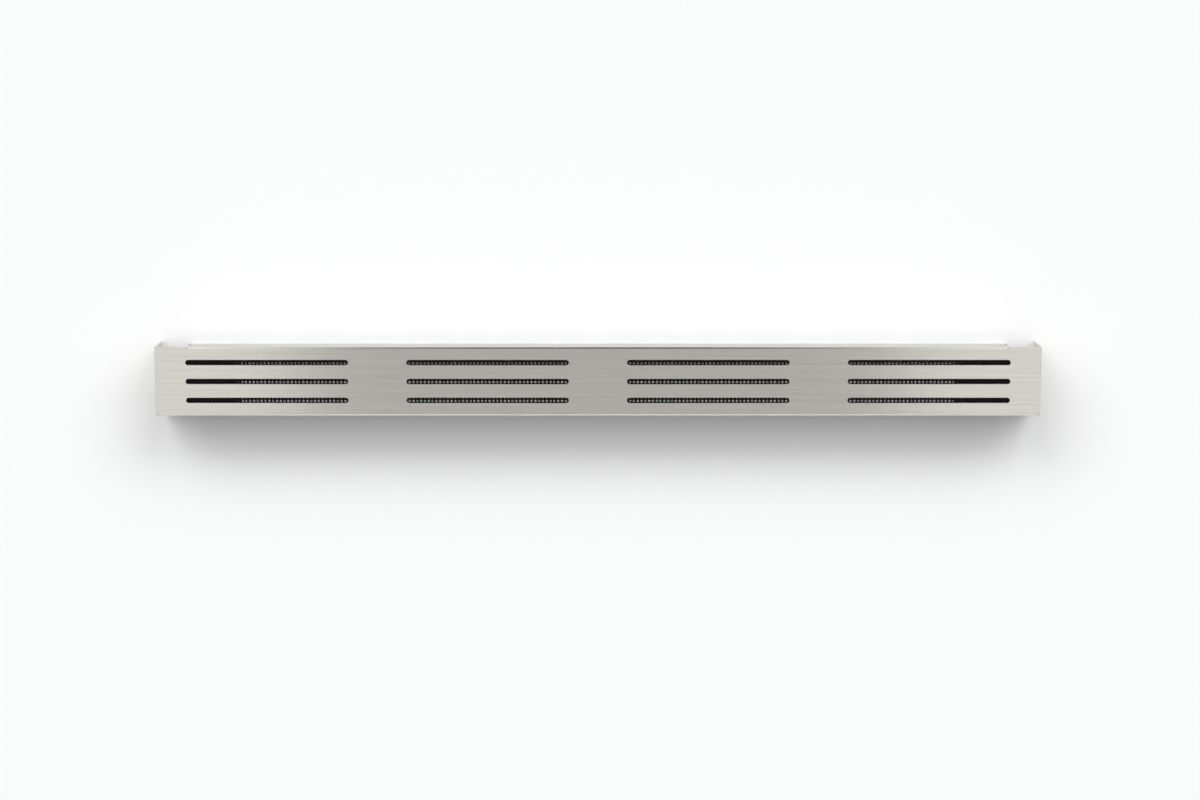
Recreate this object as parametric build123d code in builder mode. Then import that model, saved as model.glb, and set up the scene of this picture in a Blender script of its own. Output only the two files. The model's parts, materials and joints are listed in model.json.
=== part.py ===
from build123d import *
import os

# Slim electric baseboard heater, held flat on a wall.
# X runs along the heater, +Y points into the wall, Z is up. The wall face is Y = 0, and the
# origin is the middle of the back plate's wall face. All sizes are in millimetres.

# ---- cover: one bent stainless sheet, open at the back and along the top rear ----
cover_length = 1000.0
cover_height = 78.4
cover_depth = 58.5
cover_sheet = 1.5
cover_wall_gap = 0.6
bend_outer = 2.2
bend_inner = 0.7
bend_relief = 1.2
flange_leg = 3.2
top_flange_length = 924.0
top_flange_depth = 30.0
bottom_flange_depth = 18.0

# ---- slots in the front panel ----
slot_columns = 4
slot_rows = 3
slot_length = 183.0
slot_height = 5.6
slot_pitch = 249.0
slot_row_pitch = 21.5
slot_edge = 0.4

# ---- perforated guard panels, one behind each group of slots ----
guard_names = ("guard_far_left", "guard_left", "guard_right", "guard_far_right")
guard_length = 200.0
guard_height = 67.0
guard_sheet_thickness = 1.0
guard_drop = 0.4
hole_pitch = 4.3
hole_radius = 1.3
hole_columns = 44
hole_rows = 12
hole_rows_shift = -0.62

# ---- weld studs and nuts that hold the guards, and pins that hold the cover ----
stud_spacing_x = 188.0
stud_height_z = 30.1
stud_radius = 1.5
stud_length = 5.6
nut_flats = 5.5
nut_height = 2.4
nut_clearance = 0.05
border_hole_radius = 1.8
pin_radius = 2.0
pin_length = 15.0
pin_tip = 0.8
socket_clearance = 0.06
socket_radius = 4.0
socket_rim_radius = 5.0
socket_rim = 1.0
socket_length = 4.6

# ---- back plate ----
plate_length = 936.0
plate_height = 72.0
plate_sheet = 1.2
plate_lip = 7.0
wall_hole_radius = 2.75
wall_hole_spacing_x = 750.0
wall_hole_spacing_z = 59.0
rivet_radius = 1.6
rivet_head_radius = 3.2
rivet_head = 1.0
cable_hole_radius = 10.0
knockout_radius = 10.5
knockout_slit = 0.5
knockout_tab = 2.0

# ---- brackets that carry the element and the cover's sockets ----
bracket_pitch = 249.0
bracket_front_y = -48.4
bracket_height = 71.0
bracket_notch = 2.4
bracket_sheet = 1.2
bracket_foot = 14.0
bracket_foot_height = 40.0
bracket_rivet_spacing = 28.0
bracket_tab = 15.0
bracket_tab_height = 10.5
socket_offset = 8.6
wire_pass_radius = 2.6
capillary_pass_radius = 1.6

# ---- finned heating element ----
element_y = -27.5
element_z = -3.0
sheath_radius = 4.5
sheath_wall = 0.7
sheath_half_length = 436.0
terminal_radius = 1.6
terminal_end_x = 452.0
terminal_start_x = 404.0
fin_pitch = 6.0
fin_count = 134
fin_thickness = 0.4
fin_flange = 5.2
fin_front_y = -54.0
fin_rear_y = -8.0
fin_bottom_z = -25.0
fin_top_z = 20.0
fin_hole_clearance = 0.02
fin_bracket_gap = 2.5
bush_radius = 7.0
bush_flange_radius = 8.4
bush_flange = 1.4
bush_length = 3.2

# ---- wiring boxes, one at each end ----
box_inner_x = 412.0
box_outer_x = 466.0
box_front_y = -50.0
box_bottom_z = -33.0
box_top_z = 24.0
box_sheet = 1.0
lid_tab_reach = 8.0
lid_tab_width = 10.0
screw_radius = 1.5
screw_head_radius = 3.0
screw_head = 2.0
screw_length = 5.0
screw_drive_length = 3.2
screw_drive_width = 0.8
screw_drive_depth = 0.7

# ---- parts in the left box ----
box_rivet_spacing = 42.0
box_rivet_z = 14.0
block_length = 32.0
block_depth = 14.0
block_height = 15.0
block_middle_z = -1.0
block_poles = 3
block_pole_pitch = 9.5
block_wire_y = -9.2
block_wire_radius = 1.5
block_screw_radius = 1.6
block_screw_length = 4.5
block_screw_sunk = 1.0
cable_hole_z = -20.2
bushing_radius = 9.8
bushing_bore = 6.5
bushing_flange_radius = 11.4
bushing_flange = 1.6
bushing_length = 8.0
cutout_width = 22.0
cutout_depth = 14.0
cutout_height = 10.0
cutout_y = -14.0
neck_radius = 4.0
neck_height = 4.0
neck_hole_radius = 4.1
ear_length = 36.0
ear_width = 8.0
ear_thickness = 0.7
ear_hole_spacing = 29.0
button_radius = 2.5
button_clearance = 0.08
button_collar_radius = 3.2
button_collar_height = 1.2
button_stand_out = 3.0
button_axial_gap = 0.3
button_well_depth = 7.0
button_neck_depth = 2.0
blade_width = 4.8
blade_length = 7.0
blade_thickness = 0.5
blade_spacing = 12.0
blade_z = 17.0
receptacle_width = 6.2
receptacle_length = 8.0
receptacle_height = 2.6
receptacle_gap = 1.5
capillary_radius = 1.0
capillary_z = 21.2
capillary_end_x = 398.0
clip_flange_radius = 2.4
clip_flange = 0.6
wire_radius = 1.3
wire_bend = 2.6
wire_level_z = 9.75
wire_loop_y = -37.0
wire_front_y = -43.0
wire_side_x = 458.5
wire_riser_x = 418.0
crimp_radius = 2.5
crimp_length = 8.0
earth_x = -459.5
earth_z = -27.0
lug_radius = 3.6
lug_thickness = 0.8
lug_barrel_radius = 1.7
lug_barrel_bore = 1.1
lug_barrel_length = 7.0
strap_length = 28.0
strap_width = 8.0
strap_sheet = 1.2
strap_inner_radius = 4.5
strap_leg = 3.0
strap_screw_spacing = 20.0
strap_y = -32.0

# ---- derived positions ----
half_length = cover_length / 2
cover_top = cover_height / 2
cover_bottom = -cover_height / 2
panel_front = -cover_depth
panel_back = panel_front + cover_sheet
cover_reach = cover_depth - cover_wall_gap
guard_back = panel_back + guard_sheet_thickness
hole_rows_z = hole_rows_shift * hole_pitch
bottom_flange_length = cover_length - 2 * (bend_outer + bend_relief)
stud_row_spacing = 2 * stud_height_z
bracket_places = (-bracket_pitch, 0.0, bracket_pitch)
pin_places = [x + socket_offset for x in bracket_places]
plate_front = -plate_sheet
box_middle_x = (box_inner_x + box_outer_x) / 2
box_length = box_outer_x - box_inner_x
box_height = box_top_z - box_bottom_z
box_middle_z = (box_top_z + box_bottom_z) / 2
box_depth = plate_front - box_front_y
box_back_y = plate_front - box_sheet
lid_screw_top_z = box_top_z - box_sheet - lid_tab_reach / 2
lid_screw_bottom_z = box_bottom_z + box_sheet + lid_tab_reach / 2
left_x = -box_middle_x
cutout_top_z = box_top_z - box_sheet
wire_run_y = -6.0
wire_run_z = -28.5
tiny = 0.01


# ================= the cover and what is fixed to it =================

with BuildPart() as front_cover:
    with BuildSketch(Plane.XY.offset(cover_bottom)):
        with Locations((0, panel_front + cover_reach / 2)):
            Rectangle(cover_length, cover_reach)
        with Locations((0, panel_back + cover_reach / 2)):
            Rectangle(cover_length - 2 * cover_sheet, cover_reach, mode=Mode.SUBTRACT)
    extrude(amount=cover_height)
    upright_edges = front_cover.edges().filter_by(Axis.Z)
    outside_bends = upright_edges.filter_by_position(Axis.Y, panel_front - tiny, panel_front + tiny)
    inside_bends = upright_edges.filter_by_position(Axis.Y, panel_back - tiny, panel_back + tiny)
    fillet(outside_bends, bend_outer)
    fillet(inside_bends, bend_inner)
    # the panel stops short where a flange bends back, and a relief slit stands at each end of it
    for flange_length, edge_z in ((top_flange_length, cover_top), (bottom_flange_length, cover_bottom)):
        with Locations((0, panel_front, edge_z)):
            Box(
                flange_length + 2 * bend_relief,
                2 * cover_sheet + tiny,
                2 * flange_leg,
                mode=Mode.SUBTRACT,
            )
    for flange_length, flange_depth, edge_z, inward in (
        (top_flange_length, top_flange_depth, cover_top, -1),
        (bottom_flange_length, bottom_flange_depth, cover_bottom, 1),
    ):
        with BuildSketch(Plane.YZ.offset(-flange_length / 2)) as flange_profile:
            with Locations((panel_front + flange_depth / 2, edge_z + inward * flange_leg / 2)):
                Rectangle(flange_depth, flange_leg)
            with Locations(
                (
                    panel_back + flange_depth / 2,
                    edge_z + inward * (cover_sheet + flange_leg / 2),
                )
            ):
                Rectangle(flange_depth, flange_leg, mode=Mode.SUBTRACT)
            corners = flange_profile.vertices()
            fillet(corners.sort_by_distance((panel_front, edge_z))[0], bend_outer)
            inner_corner = (panel_back, edge_z + inward * cover_sheet)
            fillet(flange_profile.vertices().sort_by_distance(inner_corner)[0], bend_inner)
        extrude(amount=flange_length)
    with BuildSketch(Plane.XZ.offset(cover_depth)):
        with GridLocations(slot_pitch, slot_row_pitch, slot_columns, slot_rows):
            SlotOverall(slot_length, slot_height)
    extrude(amount=-cover_sheet, mode=Mode.SUBTRACT)
    panel_face = front_cover.faces().sort_by(Axis.Y)[0]
    slot_rims = [edge for wire in panel_face.inner_wires() for edge in wire.edges()]
    chamfer(slot_rims, slot_edge)
front_cover.part.label = "front_cover"
export_step(front_cover.part, "parts/front_cover.step")

guard_places = [(column - (slot_columns - 1) / 2) * slot_pitch for column in range(slot_columns)]
for guard_name, guard_x in zip(guard_names, guard_places):
    with BuildPart() as guard:
        with BuildSketch(Plane.XZ.offset(-panel_back)):
            with Locations((guard_x, -guard_drop)):
                Rectangle(guard_length, guard_height)
                with GridLocations(stud_spacing_x, stud_row_spacing, 2, 2):
                    Circle(border_hole_radius, mode=Mode.SUBTRACT)
        extrude(amount=-guard_sheet_thickness)
        with BuildSketch(Plane.XZ.offset(-panel_back)):
            with Locations((guard_x, hole_rows_z - guard_drop)):
                with GridLocations(hole_pitch, hole_pitch, hole_columns, hole_rows):
                    Circle(hole_radius)
        extrude(amount=-guard_sheet_thickness, mode=Mode.SUBTRACT)
    guard.part.label = guard_name
    export_step(guard.part, "parts/" + guard_name + ".step")

stud_places = [
    (guard_x + end * stud_spacing_x / 2, row * stud_height_z - guard_drop)
    for guard_x in guard_places
    for end in (-1, 1)
    for row in (-1, 1)
]

with BuildPart() as guard_studs:
    with BuildSketch(Plane.XZ.offset(-panel_back)):
        with Locations(stud_places):
            Circle(stud_radius)
    extrude(amount=-stud_length)
    chamfer(guard_studs.edges().group_by(Axis.Y)[-1], slot_edge)
guard_studs.part.label = "guard_studs"
export_step(guard_studs.part, "parts/guard_studs.step")

with BuildPart() as guard_nuts:
    with BuildSketch(Plane.XZ.offset(-guard_back)):
        with Locations(stud_places):
            RegularPolygon(nut_flats / 2, 6, major_radius=False)
            Circle(stud_radius + nut_clearance, mode=Mode.SUBTRACT)
    extrude(amount=-nut_height)
guard_nuts.part.label = "guard_nuts"
export_step(guard_nuts.part, "parts/guard_nuts.step")

with BuildPart() as cover_pins:
    with BuildSketch(Plane.XZ.offset(-panel_back)):
        with Locations([(x, z - guard_drop) for x in pin_places for z in (-stud_height_z, stud_height_z)]):
            Circle(pin_radius)
    extrude(amount=-pin_length)
    chamfer(cover_pins.edges().group_by(Axis.Y)[-1], pin_tip)
cover_pins.part.label = "cover_pins"
export_step(cover_pins.part, "parts/cover_pins.step")


# ================= back plate and brackets =================

with BuildPart() as back_plate:
    with BuildSketch(Plane.YZ.offset(-plate_length / 2)):
        with Locations((-plate_lip / 2, 0)):
            Rectangle(plate_lip, plate_height)
        with Locations((-plate_sheet - plate_lip / 2, 0)):
            Rectangle(plate_lip, plate_height - 2 * plate_sheet, mode=Mode.SUBTRACT)
    extrude(amount=plate_length)
    long_edges = back_plate.edges().filter_by(Axis.X)
    fillet(long_edges.filter_by_position(Axis.Y, -tiny, tiny), plate_sheet)
    with BuildSketch(Plane.XZ):
        with GridLocations(wall_hole_spacing_x, wall_hole_spacing_z, 2, 2):
            Circle(wall_hole_radius)
        with Locations([(x + bracket_foot / 2, 0) for x in bracket_places]):
            with GridLocations(bracket_rivet_spacing, bracket_rivet_spacing, 1, 2):
                Circle(rivet_radius)
        with Locations((left_x, cable_hole_z)):
            Circle(cable_hole_radius)
        with Locations((left_x, box_rivet_z), (box_middle_x, box_rivet_z)):
            with GridLocations(box_rivet_spacing, box_rivet_spacing, 2, 1):
                Circle(rivet_radius)
        with Locations((earth_x, earth_z)):
            Circle(screw_radius)
        # a round blank that can be knocked out for a cable at the right-hand end
        with Locations((box_middle_x, cable_hole_z)):
            Circle(knockout_radius)
            Circle(knockout_radius - knockout_slit, mode=Mode.SUBTRACT)
            Rectangle(knockout_tab, 2 * knockout_radius, mode=Mode.SUBTRACT)
    extrude(amount=plate_sheet, mode=Mode.SUBTRACT)
back_plate.part.label = "back_plate"
export_step(back_plate.part, "parts/back_plate.step")


def bracket(name, place):
    """A plate across the heater, with a foot on the back plate and two tabs at the front."""
    bracket_depth = plate_front - bracket_front_y
    with BuildPart() as piece:
        with BuildSketch(Plane.YZ.offset(place)):
            with Locations((plate_front - bracket_depth / 2, 0)):
                Rectangle(bracket_depth, bracket_height)
            # the rear corners are notched so that the plate clears the back plate's lips
            with Locations((plate_front, bracket_height / 2), (plate_front, -bracket_height / 2)):
                Rectangle(2 * plate_lip, 2 * bracket_notch, mode=Mode.SUBTRACT)
            with Locations((element_y, element_z)):
                Circle(bush_radius, mode=Mode.SUBTRACT)
            with Locations((wire_run_y, wire_run_z)):
                Circle(wire_pass_radius, mode=Mode.SUBTRACT)
            with Locations((cutout_y, capillary_z)):
                Circle(capillary_pass_radius, mode=Mode.SUBTRACT)
        extrude(amount=bracket_sheet)
        with BuildSketch(Plane.XZ.offset(-plate_front)):
            with Locations((place + bracket_foot / 2, 0)):
                Rectangle(bracket_foot, bracket_foot_height)
                with GridLocations(bracket_rivet_spacing, bracket_rivet_spacing, 1, 2):
                    Circle(rivet_radius, mode=Mode.SUBTRACT)
        extrude(amount=bracket_sheet)
        with BuildSketch(Plane.XZ.offset(-bracket_front_y)):
            for side in (-1, 1):
                tab_middle_z = side * (bracket_height - bracket_tab_height) / 2
                with Locations((place + bracket_tab / 2, tab_middle_z)):
                    Rectangle(bracket_tab, bracket_tab_height)
                with Locations((place + socket_offset, side * stud_height_z - guard_drop)):
                    Circle(socket_radius, mode=Mode.SUBTRACT)
        extrude(amount=-bracket_sheet)
    piece.part.label = name
    export_step(piece.part, "parts/" + name + ".step")


bracket("bracket_left", bracket_places[0])
bracket("bracket_centre", bracket_places[1])
bracket("bracket_right", bracket_places[2])

with BuildPart() as bracket_rivets:
    rivet_grip = plate_sheet + bracket_sheet
    for place in bracket_places:
        with BuildSketch(Plane.XZ):
            with Locations((place + bracket_foot / 2, 0)):
                with GridLocations(bracket_rivet_spacing, bracket_rivet_spacing, 1, 2):
                    Circle(rivet_radius)
        extrude(amount=rivet_grip)
        with BuildSketch(Plane.XZ.offset(rivet_grip)):
            with Locations((place + bracket_foot / 2, 0)):
                with GridLocations(bracket_rivet_spacing, bracket_rivet_spacing, 1, 2):
                    Circle(rivet_head_radius)
        extrude(amount=rivet_head, taper=25)
bracket_rivets.part.label = "bracket_rivets"
export_step(bracket_rivets.part, "parts/bracket_rivets.step")

with BuildPart() as cover_sockets:
    socket_places = [(x, z - guard_drop) for x in pin_places for z in (-stud_height_z, stud_height_z)]
    with BuildSketch(Plane.XZ.offset(-bracket_front_y + socket_rim)):
        with Locations(socket_places):
            Circle(socket_rim_radius)
    extrude(amount=-socket_rim)
    with BuildSketch(Plane.XZ.offset(-bracket_front_y)):
        with Locations(socket_places):
            Circle(socket_radius)
    extrude(amount=-(socket_length - socket_rim))
    with BuildSketch(Plane.XZ.offset(-bracket_front_y + socket_rim)):
        with Locations(socket_places):
            Circle(pin_radius + socket_clearance)
    extrude(amount=-socket_length, mode=Mode.SUBTRACT)
cover_sockets.part.label = "cover_sockets"
export_step(cover_sockets.part, "parts/cover_sockets.step")


# ================= finned element =================

with BuildPart() as element_sheath:
    with BuildSketch(Plane.YZ.offset(-sheath_half_length)):
        with Locations((element_y, element_z)):
            Circle(sheath_radius)
            Circle(sheath_radius - sheath_wall, mode=Mode.SUBTRACT)
    extrude(amount=2 * sheath_half_length)
element_sheath.part.label = "element_sheath"
export_step(element_sheath.part, "parts/element_sheath.step")

with BuildPart() as element_core:
    with BuildSketch(Plane.YZ.offset(-sheath_half_length)):
        with Locations((element_y, element_z)):
            Circle(sheath_radius - sheath_wall)
    extrude(amount=2 * sheath_half_length)
    for side in (-1, 1):
        with BuildSketch(Plane.YZ.offset(side * terminal_start_x)):
            with Locations((element_y, element_z)):
                Circle(terminal_radius)
        extrude(amount=side * (sheath_half_length - terminal_start_x), mode=Mode.SUBTRACT)
element_core.part.label = "element_core"
export_step(element_core.part, "parts/element_core.step")

for side, name in ((-1, "terminal_pin_left"), (1, "terminal_pin_right")):
    with BuildPart() as terminal_pin:
        with BuildSketch(Plane.YZ.offset(side * terminal_start_x)):
            with Locations((element_y, element_z)):
                Circle(terminal_radius)
        extrude(amount=side * (terminal_end_x - terminal_start_x))
    terminal_pin.part.label = name
    export_step(terminal_pin.part, "parts/" + name + ".step")

fin_middle_y = (fin_front_y + fin_rear_y) / 2
fin_depth = fin_rear_y - fin_front_y
fin_first_x = -fin_pitch * fin_count / 2
fin_places = []
for index in range(fin_count):
    fin_x = fin_first_x + fin_pitch * index
    # a fin is left out where a bracket stands
    clear_of_brackets = all(
        fin_x > x + bracket_sheet + fin_bracket_gap or fin_x + fin_flange < x - fin_bracket_gap
        for x in bracket_places
    )
    if clear_of_brackets:
        fin_places.append(fin_x)

with BuildPart() as element_fins:
    with BuildSketch(Plane.XY.offset(fin_bottom_z)):
        with Locations([(x + fin_flange / 2, fin_middle_y) for x in fin_places]):
            Rectangle(fin_flange, fin_depth)
        with Locations([(x + fin_thickness + fin_flange / 2, fin_middle_y) for x in fin_places]):
            Rectangle(fin_flange, fin_depth - 2 * fin_thickness, mode=Mode.SUBTRACT)
    extrude(amount=fin_top_z - fin_bottom_z)
    with BuildSketch(Plane.YZ.offset(-sheath_half_length)):
        with Locations((element_y, element_z)):
            Circle(sheath_radius + fin_hole_clearance)
    extrude(amount=2 * sheath_half_length, mode=Mode.SUBTRACT)
element_fins.part.label = "element_fins"
export_step(element_fins.part, "parts/element_fins.step")

bush_places = [x + bracket_sheet for x in bracket_places] + [-box_inner_x, box_inner_x + box_sheet]
with BuildPart() as sheath_bushes:
    for place in bush_places:
        with BuildSketch(Plane.YZ.offset(place)):
            with Locations((element_y, element_z)):
                Circle(bush_radius)
        extrude(amount=-bush_length)
        with BuildSketch(Plane.YZ.offset(place)):
            with Locations((element_y, element_z)):
                Circle(bush_flange_radius)
        extrude(amount=bush_flange)
    with BuildSketch(Plane.YZ.offset(-sheath_half_length)):
        with Locations((element_y, element_z)):
            Circle(sheath_radius)
    extrude(amount=2 * sheath_half_length, mode=Mode.SUBTRACT)
sheath_bushes.part.label = "sheath_bushes"
export_step(sheath_bushes.part, "parts/sheath_bushes.step")


# ================= wiring boxes =================

def wiring_box(name, side):
    """A sheet box on the back plate, open at the front, with two tabs for the lid's screws.

    It is welded from five plates: the back, two full-height ends, and a top and a bottom
    that each carry one tab.
    """
    middle = (side * box_middle_x, (plate_front + box_front_y) / 2, box_middle_z)
    with BuildPart() as piece:
        with Locations(middle):
            Box(box_length, box_depth, box_height)
        with Locations((middle[0], middle[1] - box_sheet, middle[2])):
            Box(
                box_length - 2 * box_sheet,
                box_depth,
                box_height - 2 * box_sheet,
                mode=Mode.SUBTRACT,
            )
        with BuildSketch(Plane.XZ.offset(-box_front_y)):
            for screw_z in (lid_screw_top_z, lid_screw_bottom_z):
                with Locations((middle[0], screw_z)):
                    Rectangle(lid_tab_width, lid_tab_reach)
                    Circle(screw_radius, mode=Mode.SUBTRACT)
        extrude(amount=-box_sheet)
        with BuildSketch(Plane.YZ.offset(side * box_inner_x)):
            with Locations((element_y, element_z)):
                Circle(bush_radius)
            with Locations((wire_run_y, wire_run_z)):
                Circle(wire_pass_radius)
            if side < 0:
                with Locations((cutout_y, capillary_z)):
                    Circle(capillary_pass_radius)
        extrude(amount=side * box_sheet, mode=Mode.SUBTRACT)
        with BuildSketch(Plane.XZ.offset(-plate_front)):
            with Locations((middle[0], box_rivet_z)):
                with GridLocations(box_rivet_spacing, box_rivet_spacing, 2, 1):
                    Circle(rivet_radius)
            if side < 0:
                with Locations((middle[0], cable_hole_z)):
                    Circle(cable_hole_radius)
                with Locations((earth_x, earth_z)):
                    Circle(screw_radius)
            else:
                with Locations((middle[0], cable_hole_z)):
                    Circle(knockout_radius)
                    Circle(knockout_radius - knockout_slit, mode=Mode.SUBTRACT)
                    Rectangle(knockout_tab, 2 * knockout_radius, mode=Mode.SUBTRACT)
        extrude(amount=box_sheet, mode=Mode.SUBTRACT)
        if side < 0:
            with BuildSketch(Plane.XY.offset(box_top_z)):
                with Locations((middle[0], cutout_y)):
                    Circle(neck_hole_radius)
                    with GridLocations(ear_hole_spacing, ear_hole_spacing, 2, 1):
                        Circle(screw_radius)
            extrude(amount=-box_sheet, mode=Mode.SUBTRACT)
            with BuildSketch(Plane.XY.offset(box_bottom_z)):
                with Locations((middle[0], strap_y)):
                    with GridLocations(strap_screw_spacing, strap_screw_spacing, 2, 1):
                        Circle(screw_radius)
            extrude(amount=box_sheet, mode=Mode.SUBTRACT)
    back_seam = Plane.XZ.offset(-box_back_y)
    with BuildPart() as back:
        add(piece.part)
        split(bisect_by=back_seam, keep=Keep.BOTTOM)
    with BuildPart() as walls:
        add(piece.part)
        split(bisect_by=back_seam, keep=Keep.TOP)
        for seam_x in (box_inner_x + box_sheet, box_outer_x - box_sheet):
            split(bisect_by=Plane.YZ.offset(side * seam_x), keep=Keep.BOTH)
    plates = Compound(children=[*back.part.solids(), *walls.part.solids()])
    plates.label = name
    export_step(plates, "parts/" + name + ".step")


def box_lid(name, side):
    """A flat lid with two screw holes."""
    with BuildPart() as piece:
        with BuildSketch(Plane.XZ.offset(-box_front_y)):
            with Locations((side * box_middle_x, box_middle_z)):
                RectangleRounded(box_length, box_height, box_sheet)
            with Locations(
                (side * box_middle_x, lid_screw_top_z),
                (side * box_middle_x, lid_screw_bottom_z),
            ):
                Circle(screw_radius, mode=Mode.SUBTRACT)
        extrude(amount=box_sheet)
    piece.part.label = name
    export_step(piece.part, "parts/" + name + ".step")


wiring_box("box_left", -1)
wiring_box("box_right", 1)
box_lid("lid_left", -1)
box_lid("lid_right", 1)

with BuildPart() as lid_screws:
    lid_front = -box_front_y + box_sheet
    lid_screw_places = [
        (side * box_middle_x, z) for side in (-1, 1) for z in (lid_screw_top_z, lid_screw_bottom_z)
    ]
    with BuildSketch(Plane.XZ.offset(lid_front)):
        with Locations(lid_screw_places):
            Circle(screw_head_radius)
    extrude(amount=screw_head)
    fillet(lid_screws.edges().group_by(Axis.Y)[0], screw_head / 2)
    with BuildSketch(Plane.XZ.offset(lid_front)):
        with Locations(lid_screw_places):
            Circle(screw_radius)
    extrude(amount=-screw_length)
    with BuildSketch(Plane.XZ.offset(lid_front + screw_head)):
        with Locations(lid_screw_places):
            Rectangle(screw_drive_length, screw_drive_width)
            Rectangle(screw_drive_width, screw_drive_length)
    extrude(amount=-screw_drive_depth, mode=Mode.SUBTRACT)
lid_screws.part.label = "lid_screws"
export_step(lid_screws.part, "parts/lid_screws.step")

with BuildPart() as box_rivets:
    box_grip = plate_sheet + box_sheet
    box_rivet_places = [
        (side * box_middle_x + end * box_rivet_spacing / 2, box_rivet_z)
        for side in (-1, 1)
        for end in (-1, 1)
    ]
    with BuildSketch(Plane.XZ):
        with Locations(box_rivet_places):
            Circle(rivet_radius)
    extrude(amount=box_grip)
    with BuildSketch(Plane.XZ.offset(box_grip)):
        with Locations(box_rivet_places):
            Circle(rivet_head_radius)
    extrude(amount=rivet_head, taper=25)
box_rivets.part.label = "box_rivets"
export_step(box_rivets.part, "parts/box_rivets.step")


# ================= supply connection in the left box =================

pole_offsets = [(index - (block_poles - 1) / 2) * block_pole_pitch for index in range(block_poles)]
block_front_y = box_back_y - block_depth
block_top_z = block_middle_z + block_height / 2

with BuildPart() as terminal_block:
    with Locations((left_x, box_back_y - block_depth / 2, block_middle_z)):
        Box(block_length, block_depth, block_height)
    fillet(terminal_block.edges().filter_by(Axis.Z), block_screw_sunk)
    with BuildSketch(Plane.XY.offset(block_top_z)):
        with Locations([(left_x + offset, block_wire_y) for offset in pole_offsets]):
            Circle(block_wire_radius)
    extrude(amount=-block_height, mode=Mode.SUBTRACT)
    with BuildSketch(Plane.XZ.offset(-block_front_y)):
        with Locations([(left_x + offset, block_middle_z) for offset in pole_offsets]):
            Circle(block_screw_radius)
    extrude(amount=-(block_screw_sunk + block_screw_length), mode=Mode.SUBTRACT)
terminal_block.part.label = "terminal_block"
export_step(terminal_block.part, "parts/terminal_block.step")

with BuildPart() as terminal_screws:
    with BuildSketch(Plane.XZ.offset(-block_front_y - block_screw_sunk)):
        with Locations([(left_x + offset, block_middle_z) for offset in pole_offsets]):
            Circle(block_screw_radius)
    extrude(amount=-block_screw_length)
    with BuildSketch(Plane.XZ.offset(-block_front_y - block_screw_sunk)):
        with Locations([(left_x + offset, block_middle_z) for offset in pole_offsets]):
            Rectangle(2 * block_screw_radius, screw_drive_width)
    extrude(amount=-screw_drive_depth, mode=Mode.SUBTRACT)
terminal_screws.part.label = "terminal_screws"
export_step(terminal_screws.part, "parts/terminal_screws.step")

with BuildPart() as cable_bushing:
    with BuildSketch(Plane.XZ):
        with Locations((left_x, cable_hole_z)):
            Circle(bushing_radius)
    extrude(amount=bushing_length)
    with BuildSketch(Plane.XZ.offset(-box_back_y)):
        with Locations((left_x, cable_hole_z)):
            Circle(bushing_flange_radius)
    extrude(amount=bushing_flange)
    with BuildSketch(Plane.XZ):
        with Locations((left_x, cable_hole_z)):
            Circle(bushing_bore)
    extrude(amount=bushing_length, mode=Mode.SUBTRACT)
cable_bushing.part.label = "cable_bushing"
export_step(cable_bushing.part, "parts/cable_bushing.step")

strap_floor_z = box_bottom_z + box_sheet
strap_centre_z = strap_floor_z + strap_leg
strap_outer_radius = strap_inner_radius + strap_sheet
with BuildPart() as cable_strap:
    with BuildSketch(Plane.XZ.offset(-strap_y - strap_width / 2)):
        with Locations((left_x, strap_centre_z)):
            Circle(strap_outer_radius)
        with Locations((left_x, strap_floor_z + strap_leg / 2)):
            Rectangle(2 * strap_outer_radius, strap_leg)
        with Locations((left_x, strap_floor_z + strap_sheet / 2)):
            Rectangle(strap_length, strap_sheet)
        with Locations((left_x, strap_centre_z)):
            Circle(strap_inner_radius, mode=Mode.SUBTRACT)
        with Locations((left_x, strap_floor_z + strap_leg / 2)):
            Rectangle(2 * strap_inner_radius, strap_leg, mode=Mode.SUBTRACT)
        with Locations((left_x, strap_floor_z - strap_outer_radius)):
            Rectangle(strap_length, 2 * strap_outer_radius, mode=Mode.SUBTRACT)
    extrude(amount=strap_width)
    with BuildSketch(Plane.XY.offset(strap_floor_z)):
        with Locations((left_x, strap_y)):
            with GridLocations(strap_screw_spacing, strap_screw_spacing, 2, 1):
                Circle(screw_radius)
    extrude(amount=strap_sheet, mode=Mode.SUBTRACT)
cable_strap.part.label = "cable_strap"
export_step(cable_strap.part, "parts/cable_strap.step")

with BuildPart() as strap_screws:
    strap_screw_places = [
        (left_x - strap_screw_spacing / 2, strap_y),
        (left_x + strap_screw_spacing / 2, strap_y),
    ]
    with BuildSketch(Plane.XY.offset(box_bottom_z)):
        with Locations(strap_screw_places):
            Circle(screw_radius)
    extrude(amount=box_sheet + strap_sheet)
    with BuildSketch(Plane.XY.offset(strap_floor_z + strap_sheet)):
        with Locations(strap_screw_places):
            Circle(screw_head_radius)
    extrude(amount=screw_head)
    fillet(strap_screws.edges().group_by(Axis.Z)[-1], screw_head / 2)
strap_screws.part.label = "strap_screws"
export_step(strap_screws.part, "parts/strap_screws.step")

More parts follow.
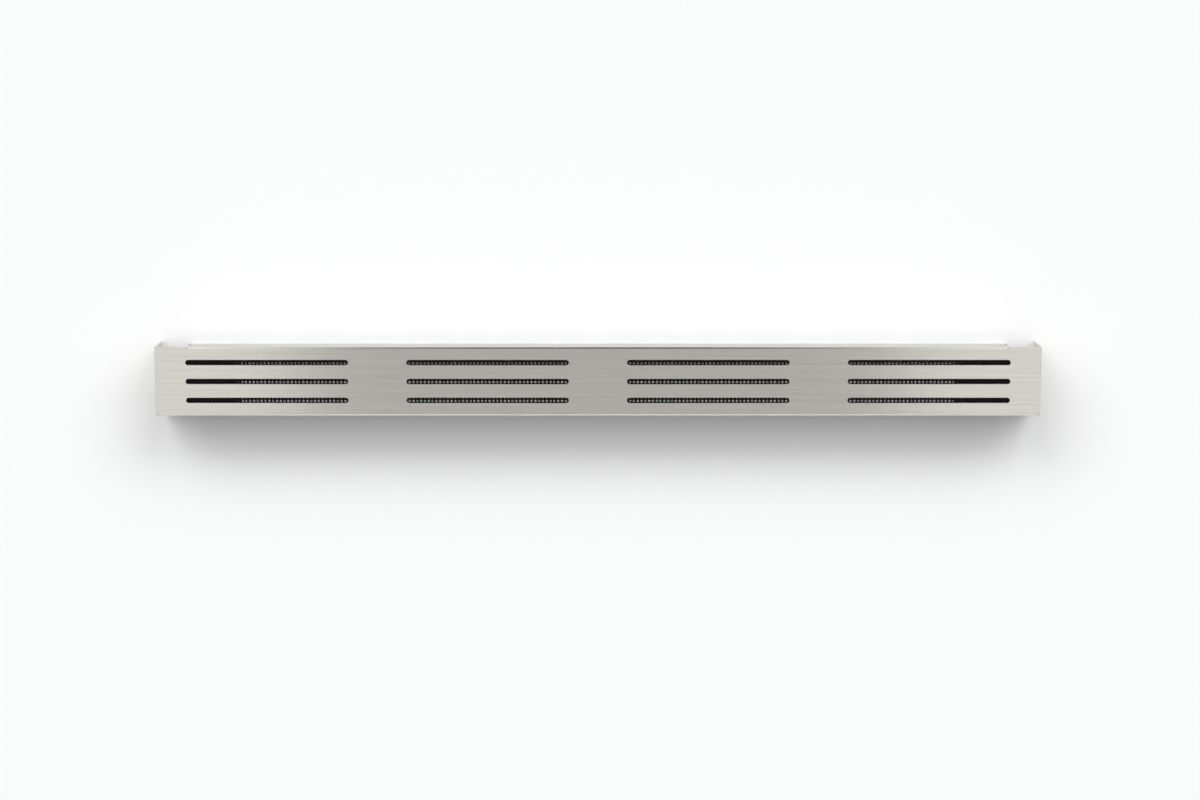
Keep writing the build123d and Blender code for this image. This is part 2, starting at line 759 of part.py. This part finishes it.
with BuildPart() as earth_lug:
    with BuildSketch(Plane.XZ.offset(-box_back_y)):
        with Locations((earth_x, earth_z)):
            Circle(lug_radius)
        with Locations((earth_x, earth_z + lug_radius)):
            Rectangle(2 * lug_barrel_radius, lug_radius)
        with Locations((earth_x, earth_z)):
            Circle(screw_radius, mode=Mode.SUBTRACT)
    extrude(amount=lug_thickness)
    with BuildSketch(Plane.XY.offset(earth_z + lug_radius + lug_barrel_radius)):
        with Locations((earth_x, box_back_y - lug_barrel_radius)):
            Circle(lug_barrel_radius)
    extrude(amount=lug_barrel_length)
    with BuildSketch(Plane.XY.offset(earth_z + lug_radius + lug_barrel_radius)):
        with Locations((earth_x, box_back_y - lug_barrel_radius)):
            Circle(lug_barrel_bore)
    extrude(amount=lug_barrel_length, mode=Mode.SUBTRACT)
earth_lug.part.label = "earth_lug"
export_step(earth_lug.part, "parts/earth_lug.step")

with BuildPart() as earth_screw:
    earth_grip = plate_sheet + box_sheet + lug_thickness
    with BuildSketch(Plane.XZ):
        with Locations((earth_x, earth_z)):
            Circle(screw_radius)
    extrude(amount=earth_grip)
    with BuildSketch(Plane.XZ.offset(earth_grip)):
        with Locations((earth_x, earth_z)):
            RegularPolygon(screw_head_radius, 6)
    extrude(amount=screw_head)
    with BuildSketch(Plane.XZ.offset(earth_grip + screw_head)):
        with Locations((earth_x, earth_z)):
            Rectangle(screw_drive_length, screw_drive_width)
    extrude(amount=-screw_drive_depth, mode=Mode.SUBTRACT)
earth_screw.part.label = "earth_screw"
export_step(earth_screw.part, "parts/earth_screw.step")


# ================= over-heat cut-out with its sensing tube =================

neck_top_z = cutout_top_z + neck_height
well_top_z = cutout_top_z - button_neck_depth
button_bottom_z = well_top_z - button_axial_gap - button_collar_height

with BuildPart() as cutout_body:
    with Locations((left_x, cutout_y, cutout_top_z - cutout_height / 2)):
        Box(cutout_width, cutout_depth, cutout_height)
    fillet(cutout_body.edges().filter_by(Axis.Z), block_screw_sunk)
    with Locations((left_x, cutout_y, cutout_top_z - ear_thickness / 2)):
        Box(ear_length, ear_width, ear_thickness)
    with BuildSketch(Plane.XY.offset(cutout_top_z)):
        with Locations((left_x, cutout_y)):
            Circle(neck_radius)
    extrude(amount=neck_height)
    with BuildSketch(Plane.XY.offset(neck_top_z)):
        with Locations((left_x, cutout_y)):
            Circle(button_radius + button_clearance)
    extrude(amount=-(neck_height + button_neck_depth), mode=Mode.SUBTRACT)
    with BuildSketch(Plane.XY.offset(well_top_z)):
        with Locations((left_x, cutout_y)):
            Circle(button_collar_radius + button_clearance)
    extrude(amount=-(button_well_depth - button_neck_depth), mode=Mode.SUBTRACT)
    with BuildSketch(Plane.XY.offset(cutout_top_z)):
        with Locations((left_x, cutout_y)):
            with GridLocations(ear_hole_spacing, ear_hole_spacing, 2, 1):
                Circle(screw_radius)
    extrude(amount=-ear_thickness, mode=Mode.SUBTRACT)
cutout_body.part.label = "cutout_body"
export_step(cutout_body.part, "parts/cutout_body.step")

with BuildPart() as reset_button:
    with BuildSketch(Plane.XY.offset(button_bottom_z)):
        with Locations((left_x, cutout_y)):
            Circle(button_collar_radius)
    extrude(amount=button_collar_height)
    with BuildSketch(Plane.XY.offset(button_bottom_z)):
        with Locations((left_x, cutout_y)):
            Circle(button_radius)
    extrude(amount=neck_top_z + button_stand_out - button_bottom_z)
    fillet(reset_button.edges().group_by(Axis.Z)[-1], screw_head / 2)
reset_button.part.label = "reset_button"
export_step(reset_button.part, "parts/reset_button.step")

with BuildPart() as cutout_screws:
    ear_screw_places = [
        (left_x - ear_hole_spacing / 2, cutout_y),
        (left_x + ear_hole_spacing / 2, cutout_y),
    ]
    with BuildSketch(Plane.XY.offset(cutout_top_z - ear_thickness)):
        with Locations(ear_screw_places):
            Circle(screw_radius)
    extrude(amount=box_sheet + ear_thickness)
    with BuildSketch(Plane.XY.offset(box_top_z)):
        with Locations(ear_screw_places):
            Circle(screw_head_radius)
    extrude(amount=screw_head)
    fillet(cutout_screws.edges().group_by(Axis.Z)[-1], screw_head / 2)
cutout_screws.part.label = "cutout_screws"
export_step(cutout_screws.part, "parts/cutout_screws.step")

cutout_front_y = cutout_y - cutout_depth / 2
blade_places = (left_x - blade_spacing / 2, left_x + blade_spacing / 2)
receptacle_middle_y = cutout_front_y - receptacle_gap - receptacle_length / 2
with BuildPart() as cutout_blades:
    with Locations([(x, cutout_front_y - blade_length / 2, blade_z) for x in blade_places]):
        Box(blade_width, blade_length, blade_thickness)
    chamfer(cutout_blades.edges().filter_by(Axis.Z).group_by(Axis.Y)[0], blade_thickness)
cutout_blades.part.label = "cutout_blades"
export_step(cutout_blades.part, "parts/cutout_blades.step")

with BuildPart() as push_on_terminals:
    with Locations([(x, receptacle_middle_y, blade_z) for x in blade_places]):
        Box(receptacle_width, receptacle_length, receptacle_height)
    fillet(push_on_terminals.edges().filter_by(Axis.Y), blade_thickness)
    with Locations([(x, cutout_front_y - blade_length / 2, blade_z) for x in blade_places]):
        Box(blade_width, blade_length, blade_thickness, mode=Mode.SUBTRACT)
push_on_terminals.part.label = "push_on_terminals"
export_step(push_on_terminals.part, "parts/push_on_terminals.step")

with BuildPart() as limit_tube:
    tube_start_x = left_x + cutout_width / 2
    with BuildSketch(Plane.YZ.offset(tube_start_x)):
        with Locations((cutout_y, capillary_z)):
            Circle(capillary_radius)
    extrude(amount=capillary_end_x - tube_start_x)
    fillet(limit_tube.edges().group_by(Axis.X)[-1], capillary_radius / 2)
limit_tube.part.label = "limit_tube"
export_step(limit_tube.part, "parts/limit_tube.step")

with BuildPart() as tube_clips:
    for place in bracket_places:
        with BuildSketch(Plane.YZ.offset(place)):
            with Locations((cutout_y, capillary_z)):
                Circle(capillary_pass_radius)
        extrude(amount=bracket_sheet)
        with BuildSketch(Plane.YZ.offset(place + bracket_sheet)):
            with Locations((cutout_y, capillary_z)):
                Circle(clip_flange_radius)
        extrude(amount=clip_flange)
    with BuildSketch(Plane.YZ.offset(-half_length)):
        with Locations((cutout_y, capillary_z)):
            Circle(capillary_radius)
    extrude(amount=cover_length, mode=Mode.SUBTRACT)
tube_clips.part.label = "tube_clips"
export_step(tube_clips.part, "parts/tube_clips.step")


# ================= internal wires =================

def lead(name, points):
    """A round insulated wire that runs through the given points with rounded bends."""
    with BuildPart() as piece:
        with BuildLine() as route:
            FilletPolyline(*points, radius=wire_bend)
        with BuildSketch(Plane(origin=route.line @ 0, z_dir=route.line % 0)):
            Circle(wire_radius)
        sweep(path=route.line)
    piece.part.label = name
    export_step(piece.part, "parts/" + name + ".step")


receptacle_front_y = receptacle_middle_y - receptacle_length / 2
lead(
    "lead_to_cutout",
    (
        (left_x + pole_offsets[0], block_wire_y, block_top_z),
        (left_x + pole_offsets[0], block_wire_y, wire_level_z),
        (blade_places[0], wire_loop_y, wire_level_z),
        (blade_places[0], wire_loop_y, blade_z),
        (blade_places[0], receptacle_front_y, blade_z),
    ),
)
lead(
    "lead_to_element",
    (
        (blade_places[1], receptacle_front_y, blade_z),
        (blade_places[1], wire_front_y, blade_z),
        (blade_places[1], wire_front_y, element_z),
        (-wire_side_x, wire_front_y, element_z),
        (-wire_side_x, element_y, element_z),
        (-terminal_end_x, element_y, element_z),
    ),
)
lead(
    "return_lead",
    (
        (terminal_end_x, element_y, element_z),
        (wire_side_x, element_y, element_z),
        (wire_side_x, element_y, wire_run_z),
        (wire_side_x, wire_run_y, wire_run_z),
        (-wire_riser_x, wire_run_y, wire_run_z),
        (-wire_riser_x, wire_run_y, wire_level_z),
        (left_x + pole_offsets[-1], block_wire_y, wire_level_z),
        (left_x + pole_offsets[-1], block_wire_y, block_top_z),
    ),
)

with BuildPart() as pin_crimps:
    for side in (-1, 1):
        with BuildSketch(Plane.YZ.offset(side * terminal_end_x)):
            with Locations((element_y, element_z)):
                Circle(crimp_radius)
                Circle(terminal_radius, mode=Mode.SUBTRACT)
        extrude(amount=-side * crimp_length)
pin_crimps.part.label = "pin_crimps"
export_step(pin_crimps.part, "parts/pin_crimps.step")
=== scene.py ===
import json
import math

import bpy
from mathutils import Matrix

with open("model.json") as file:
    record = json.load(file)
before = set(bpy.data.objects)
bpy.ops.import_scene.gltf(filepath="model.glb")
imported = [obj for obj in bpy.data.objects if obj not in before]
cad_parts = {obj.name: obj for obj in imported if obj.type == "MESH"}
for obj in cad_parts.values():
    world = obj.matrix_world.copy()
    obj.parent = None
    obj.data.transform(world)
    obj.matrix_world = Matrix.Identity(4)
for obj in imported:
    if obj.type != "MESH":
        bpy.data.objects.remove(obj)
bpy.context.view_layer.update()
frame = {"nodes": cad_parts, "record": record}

nodes = frame["nodes"]
slot_of_node = {
    part["node"]: part["material_slot"] for part in frame["record"]["subparts"]
}


# ---------------------------------------------------------------- node helpers

# Noise seldom leaves this range.
noise_low = 0.3
noise_high = 0.7
noise_roughness = 0.6
even = (1.0, 1.0, 1.0)


def new_material(name):
    """An empty node material with its shader, and the tools to add nodes to it."""
    material = bpy.data.materials.new(name)
    material.use_nodes = True
    tree = material.node_tree
    shader = tree.nodes["Principled BSDF"]
    return material, tree, shader


def add(tree, kind, **settings):
    """A node of the given kind with its settings made."""
    node = tree.nodes.new(kind)
    for key, value in settings.items():
        setattr(node, key, value)
    return node


def feed(tree, socket, value):
    """Link an output into the socket, or set the socket to a plain value."""
    if isinstance(value, bpy.types.NodeSocket):
        tree.links.new(value, socket)
    else:
        socket.default_value = value


def worked_out(tree, operation, *values, kind="ShaderNodeMath"):
    """The result of one operation on outputs or plain values."""
    node = add(tree, kind, operation=operation)
    for socket, value in zip(node.inputs, values):
        feed(tree, socket, value)
    return node.outputs[0]


def mixed_value(tree, factor, first, second):
    """A number that runs from the first to the second with the factor."""
    node = add(tree, "ShaderNodeMix", data_type="FLOAT")
    feed(tree, node.inputs[0], factor)
    feed(tree, node.inputs[2], first)
    feed(tree, node.inputs[3], second)
    return node.outputs[0]


def mixed_light(tree, factor, first, second, blend="MIX"):
    """A colour mixed from two outputs or plain grey levels."""
    node = add(tree, "ShaderNodeMix", data_type="RGBA", blend_type=blend)
    feed(tree, node.inputs[0], factor)
    for socket, value in ((node.inputs[6], first), (node.inputs[7], second)):
        feed(tree, socket, (value, value, value, 1.0) if isinstance(value, float) else value)
    return node.outputs[2]


def stretched_noise(tree, stretch, scale, detail=4.0):
    """Noise in the object's own metres, stretched by a factor along each axis."""
    place = add(tree, "ShaderNodeTexCoord")
    mapping = add(tree, "ShaderNodeMapping")
    mapping.inputs["Scale"].default_value = stretch
    noise = add(tree, "ShaderNodeTexNoise")
    noise.inputs["Scale"].default_value = scale
    noise.inputs["Detail"].default_value = detail
    noise.inputs["Roughness"].default_value = noise_roughness
    tree.links.new(place.outputs["Object"], mapping.inputs["Vector"])
    tree.links.new(mapping.outputs["Vector"], noise.inputs["Vector"])
    return noise.outputs["Fac"]


def between(tree, value, low, high, from_low=noise_low, from_high=noise_high):
    """The value, moved from one range to another and held inside it."""
    node = add(tree, "ShaderNodeMapRange")
    node.inputs["From Min"].default_value = from_low
    node.inputs["From Max"].default_value = from_high
    node.inputs["To Min"].default_value = low
    node.inputs["To Max"].default_value = high
    tree.links.new(value, node.inputs["Value"])
    return node.outputs["Result"]


def two_tone(tree, value, dark, light):
    """A colour that runs from dark to light with the value."""
    ramp = add(tree, "ShaderNodeValToRGB")
    ramp.color_ramp.elements[0].position = noise_low
    ramp.color_ramp.elements[0].color = (*dark, 1.0)
    ramp.color_ramp.elements[1].position = noise_high
    ramp.color_ramp.elements[1].color = (*light, 1.0)
    tree.links.new(value, ramp.inputs["Fac"])
    return ramp.outputs["Color"]


def bump(tree, shader, value, height, strength):
    """A bump of the given height in metres, put on the shader."""
    node = add(tree, "ShaderNodeBump")
    node.inputs["Strength"].default_value = strength
    node.inputs["Distance"].default_value = height
    tree.links.new(value, node.inputs["Height"])
    tree.links.new(node.outputs["Normal"], shader.inputs["Normal"])


def shade(color, factor):
    """The colour made darker or lighter by a factor."""
    return tuple(channel * factor for channel in color)


# ---------------------------------------------------------------- finishes

def brushed_streaks(tree, facing):
    """Streaks along the heater, which run from front to back on the end cheeks."""
    fine_stretch = 120.0
    fine_scale = 18.0
    fine_detail = 5.0
    coarse_stretch = 60.0
    coarse_scale = 6.0
    coarse_share = 0.6
    parts = add(tree, "ShaderNodeSeparateXYZ")
    tree.links.new(facing, parts.inputs["Vector"])
    sideways = worked_out(tree, "ABSOLUTE", parts.outputs["X"])
    cheek = between(tree, sideways, low=0.0, high=1.0, from_low=0.6, from_high=0.8)
    fine, turned = (
        stretched_noise(tree, stretch, fine_scale, fine_detail)
        for stretch in ((1.0, fine_stretch, fine_stretch), (fine_stretch, 1.0, fine_stretch))
    )
    coarse = stretched_noise(tree, (1.0, coarse_stretch, coarse_stretch), coarse_scale)
    return mixed_value(tree, cheek, mixed_value(tree, coarse_share, fine, coarse), turned)


def across_grain(tree, facing):
    """The direction in the surface across the grain, in which brushed metal spreads its gloss."""
    along_heater = (1.0, 0.0, 0.0)
    # The cross product is nothing on the cheeks, and there this small upright step gives the way.
    upright = (0.0, 0.0, -0.01)
    kind = "ShaderNodeVectorMath"
    across = worked_out(tree, "CROSS_PRODUCT", along_heater, facing, kind=kind)
    across = worked_out(tree, "ADD", across, upright, kind=kind)
    return worked_out(tree, "NORMALIZE", across, kind=kind)


def brushed_stainless():
    """Stainless sheet brushed along the heater; the grain turns back with the end cheeks."""
    material, tree, shader = new_material("brushed_stainless")
    shader.inputs["Metallic"].default_value = 1.0
    shader.inputs["Anisotropic"].default_value = 1.0
    steel = (0.645, 0.622, 0.582)
    dark_streak = 0.91
    light_streak = 1.08
    facing = add(tree, "ShaderNodeTexCoord").outputs["Normal"]
    streaks = brushed_streaks(tree, facing)
    color = two_tone(tree, streaks, shade(steel, dark_streak), shade(steel, light_streak))
    tree.links.new(color, shader.inputs["Base Color"])
    tree.links.new(between(tree, streaks, low=0.13, high=0.17), shader.inputs["Roughness"])
    bump(tree, shader, streaks, height=0.00004, strength=0.35)
    tree.links.new(across_grain(tree, facing), shader.inputs["Tangent"])
    return material


def mottle_surface(tree, shader, mottle, color, spread, smooth, rough, strength):
    """Colour, roughness and a fine bump that all follow one noise."""
    tree.links.new(
        two_tone(tree, mottle, shade(color, 1.0 - spread), shade(color, 1.0 + spread)),
        shader.inputs["Base Color"],
    )
    tree.links.new(between(tree, mottle, smooth, rough), shader.inputs["Roughness"])
    bump(tree, shader, mottle, height=0.00003, strength=strength)


def metal(name, color, roughness, stretch=even, scale=260.0):
    """A bare or plated metal with fine mottling, or with a grain when it is stretched."""
    material, tree, shader = new_material(name)
    shader.inputs["Metallic"].default_value = 1.0
    grain = stretched_noise(tree, stretch, scale)
    mottle_surface(
        tree,
        shader,
        grain,
        color,
        spread=0.08,
        smooth=0.85 * roughness,
        rough=1.2 * roughness,
        strength=0.3,
    )
    return material


def galvanised_sheet():
    """Zinc-coated sheet: large spangles of slightly different grey."""
    material, tree, shader = new_material("galvanised_sheet")
    shader.inputs["Metallic"].default_value = 1.0
    zinc = (0.40, 0.41, 0.415)
    dark_flake = 0.88
    light_flake = 1.08
    flakes_per_metre = 110.0
    grit_per_metre = 900.0
    place = add(tree, "ShaderNodeTexCoord")
    spangle = add(tree, "ShaderNodeTexVoronoi", feature="F1")
    spangle.inputs["Scale"].default_value = flakes_per_metre
    tree.links.new(place.outputs["Object"], spangle.inputs["Vector"])
    flake = add(tree, "ShaderNodeSeparateColor")
    tree.links.new(spangle.outputs["Color"], flake.inputs["Color"])
    tint = two_tone(tree, flake.outputs["Red"], shade(zinc, dark_flake), shade(zinc, light_flake))
    tree.links.new(tint, shader.inputs["Base Color"])
    dullness = between(
        tree, flake.outputs["Green"], low=0.48, high=0.62, from_low=0.0, from_high=1.0
    )
    tree.links.new(dullness, shader.inputs["Roughness"])
    grit = stretched_noise(tree, even, grit_per_metre)
    bump(tree, shader, grit, height=0.00002, strength=0.3)
    return material


def moulded(name, color, roughness, spread=0.12, specular=0.5):
    """Paint, plastic, rubber or ceramic: even colour with slight mottling and a fine texture."""
    texture_scale = 700.0
    material, tree, shader = new_material(name)
    shader.inputs["Specular IOR Level"].default_value = specular
    mottle = stretched_noise(tree, even, texture_scale)
    mottle_surface(
        tree,
        shader,
        mottle,
        color,
        spread,
        smooth=0.85 * roughness,
        rough=1.15 * roughness,
        strength=0.4,
    )
    return material


# Drawn rods and tubes have their grain along X; the fins' rolled sheet has it upright.
grain_along_x = (1.0, 60.0, 60.0)
grain_upright = (8.0, 8.0, 1.0)
finishes = {
    "stainless": brushed_stainless(),
    "guard_black": moulded("guard_black", (0.003, 0.003, 0.003), 0.62, specular=0.08),
    "plated_steel": metal("plated_steel", (0.62, 0.63, 0.62), 0.32),
    "galvanised": galvanised_sheet(),
    "rivet_aluminium": metal("rivet_aluminium", (0.74, 0.75, 0.76), 0.35),
    "socket_black": moulded("socket_black", (0.020, 0.020, 0.021), 0.55),
    "sheath_steel": metal("sheath_steel", (0.42, 0.37, 0.31), 0.38, grain_along_x, 30.0),
    "core_ceramic": moulded("core_ceramic", (0.74, 0.71, 0.63), 0.60, spread=0.06),
    "pin_steel": metal("pin_steel", (0.55, 0.55, 0.54), 0.30, grain_along_x, 30.0),
    "fin_aluminium": metal("fin_aluminium", (0.80, 0.81, 0.82), 0.42, grain_upright, 90.0),
    "bush_silicone": moulded("bush_silicone", (0.42, 0.09, 0.05), 0.62),
    "box_black": moulded("box_black", (0.014, 0.014, 0.015), 0.60),
    "brass": metal("brass", (0.72, 0.55, 0.27), 0.33),
    "bushing_nylon": moulded("bushing_nylon", (0.024, 0.024, 0.025), 0.42),
    "earth_green": moulded("earth_green", (0.03, 0.24, 0.07), 0.38),
    "cutout_plastic": moulded("cutout_plastic", (0.045, 0.040, 0.036), 0.50),
    "button_red": moulded("button_red", (0.52, 0.022, 0.016), 0.28, spread=0.05),
    "copper": metal("copper", (0.75, 0.40, 0.26), 0.34, grain_along_x, 30.0),
    "lead_brown": moulded("lead_brown", (0.13, 0.055, 0.025), 0.50),
    "lead_blue": moulded("lead_blue", (0.022, 0.075, 0.27), 0.50),
}
for name, slot in slot_of_node.items():
    materials = nodes[name].data.materials
    materials.clear()
    materials.append(finishes[slot])


# ---------------------------------------------------------------- room

wall_gap = 0.0008
floor_drop = 0.75
room_reach = 40.0
near_floor_depth = 2.0
near_wall = 0.005
wall_white = (0.93, 0.935, 0.935)
floor_white = (0.80, 0.80, 0.79)


def room_material(name, color):
    """A pale matt surface that shows from the room side only, and not to what touches it."""
    material, tree, shader = new_material(name)
    shader.inputs["Base Color"].default_value = (*color, 1.0)
    shader.inputs["Roughness"].default_value = 0.9
    shader.inputs["Specular IOR Level"].default_value = 0.0
    geometry = add(tree, "ShaderNodeNewGeometry")
    path = add(tree, "ShaderNodeLightPath")
    touching = worked_out(tree, "LESS_THAN", path.outputs["Ray Length"], near_wall)
    hidden = worked_out(tree, "MAXIMUM", geometry.outputs["Backfacing"], touching)
    clear = add(tree, "ShaderNodeBsdfTransparent")
    either = add(tree, "ShaderNodeMixShader")
    tree.links.new(hidden, either.inputs["Fac"])
    tree.links.new(shader.outputs[0], either.inputs[1])
    tree.links.new(clear.outputs[0], either.inputs[2])
    tree.links.new(either.outputs[0], tree.nodes["Material Output"].inputs["Surface"])
    return material


def sheet(name, corners, material):
    """A flat four-cornered surface of the room."""
    mesh = bpy.data.meshes.new(name)
    mesh.from_pydata(corners, [], [tuple(range(len(corners)))])
    piece = bpy.data.objects.new(name, mesh)
    bpy.context.scene.collection.objects.link(piece)
    mesh.materials.append(material)
    return piece


sheet(
    "wall",
    [
        (-room_reach, wall_gap, -floor_drop),
        (room_reach, wall_gap, -floor_drop),
        (room_reach, wall_gap, room_reach),
        (-room_reach, wall_gap, room_reach),
    ],
    room_material("wall_paint", wall_white),
)
floor_paint = room_material("floor_paint", floor_white)


def floor_strip(name, front, back):
    """A strip of floor between two distances along Y, which throws no light on the wall."""
    strip = sheet(
        name,
        [
            (-room_reach, front, -floor_drop),
            (room_reach, front, -floor_drop),
            (room_reach, back, -floor_drop),
            (-room_reach, back, -floor_drop),
        ],
        floor_paint,
    )
    strip.visible_diffuse = False
    return strip


# The near floor shows in the steel; beyond it the studio's own lower part does.
floor_strip("near_floor", -near_floor_depth, wall_gap)
for name, front, back in (
    ("far_floor", -room_reach, -near_floor_depth),
    ("floor_behind", wall_gap, room_reach),
):
    floor_strip(name, front, back).visible_glossy = False


# ---------------------------------------------------------------- light

# The studio is the world. Its brightness depends on direction only: on the steepness of the
# light as seen along the heater (the sine of its angle above the horizon, from -1 to 1), and on
# how far sideways it comes from (its slope from straight ahead). Two bright panels hang high in
# front, to the left and to the right, a pale wall stands below and between them, and the ground
# is dim. The brightnesses are shares of the peak.
studio_peak = 5.3
panels_by_height = (
    (-1.00, 0.03),
    (-0.36, 0.02),
    (-0.21, 0.204),
    (0.12, 0.204),
    (0.40, 0.19),
    (0.60, 0.36),
    (0.72, 0.88),
    (0.83, 0.96),
    (0.89, 0.66),
    (0.935, 0.28),
    (0.965, 0.04),
)
wall_by_height = (
    (-1.00, 0.03),
    (-0.36, 0.02),
    (-0.21, 0.204),
    (0.12, 0.204),
    (0.60, 0.19),
    (0.90, 0.12),
    (1.00, 0.04),
)
panels_inner = 0.18
panels_outer = 0.34
# A darker upright band stands behind the camera.
band_by_height = ((-1.00, 0.66), (0.10, 0.62), (0.35, 0.12), (1.00, 0.06))
band_inner = 0.098
band_outer = 0.126
# The studio is a little brighter to the left and right, and ends there.
side_inner = 0.35
side_outer = 0.80
side_gain = 1.2
end_inner = 1.5
end_outer = 2.6
beyond_end = 0.08
# Keeps the sideways slope finite for light from straight beside the heater.
least_ahead = 0.001


def height_ramp(tree, height, stops):
    """A value read from a list of heights, each from -1 to 1, and the values there."""
    ramp = add(tree, "ShaderNodeValToRGB")
    elements = ramp.color_ramp.elements
    while len(elements) < len(stops):
        elements.new(0.5)
    for element, (place, value) in zip(elements, stops):
        element.position = (place + 1.0) / 2.0
        element.color = (value, value, value, 1.0)
    tree.links.new(between(tree, height, 0.0, 1.0, -1.0, 1.0), ramp.inputs["Fac"])
    return ramp.outputs["Color"]


def studio_world():
    """The studio's light as a world that depends on direction only."""
    world = bpy.data.worlds.new("studio")
    world.use_nodes = True
    tree = world.node_tree

    direction = add(tree, "ShaderNodeTexCoord")
    split = add(tree, "ShaderNodeSeparateXYZ")
    tree.links.new(direction.outputs["Generated"], split.inputs["Vector"])
    across, forward, up = split.outputs
    ahead = worked_out(tree, "MAXIMUM", worked_out(tree, "ABSOLUTE", forward), least_ahead)
    squares = (worked_out(tree, "MULTIPLY", part, part) for part in (ahead, up))
    run = worked_out(tree, "SQRT", worked_out(tree, "ADD", *squares))
    steepness = worked_out(tree, "DIVIDE", up, run)
    sideways = worked_out(tree, "DIVIDE", worked_out(tree, "ABSOLUTE", across), ahead)

    def past(inner, outer):
        """Nought up to the inner slope sideways, rising smoothly to one at the outer."""
        node = between(tree, sideways, 0.0, 1.0, inner, outer).node
        node.interpolation_type = "SMOOTHSTEP"
        return node.outputs["Result"]

    pale, bright, band = (
        height_ramp(tree, steepness, stops)
        for stops in (wall_by_height, panels_by_height, band_by_height)
    )
    band = mixed_light(tree, past(band_inner, band_outer), band, 1.0)
    side = mixed_light(tree, past(side_inner, side_outer), 1.0, side_gain)
    side = mixed_light(tree, past(end_inner, end_outer), side, beyond_end)
    front = mixed_light(tree, past(panels_inner, panels_outer), pale, bright)
    for share in (band, side):
        front = mixed_light(tree, 1.0, front, share, "MULTIPLY")
    background = tree.nodes["Background"]
    background.inputs["Strength"].default_value = studio_peak
    tree.links.new(front, background.inputs["Color"])
    return world


bpy.context.scene.world = studio_world()


# ---------------------------------------------------------------- camera

camera_lens_mm = 83.0
camera_sensor_mm = 36.0
camera_place = (0.0023, -3.151, 0.4165)
camera_tilt_degrees = 81.947

camera_data = bpy.data.cameras.new("camera")
camera_data.lens = camera_lens_mm
camera_data.sensor_width = camera_sensor_mm
camera = bpy.data.objects.new("camera", camera_data)
camera.location = camera_place
camera.rotation_euler = (math.radians(camera_tilt_degrees), 0.0, 0.0)
bpy.context.scene.collection.objects.link(camera)
bpy.context.scene.camera = camera
bpy.context.scene.view_settings.view_transform = "Standard"
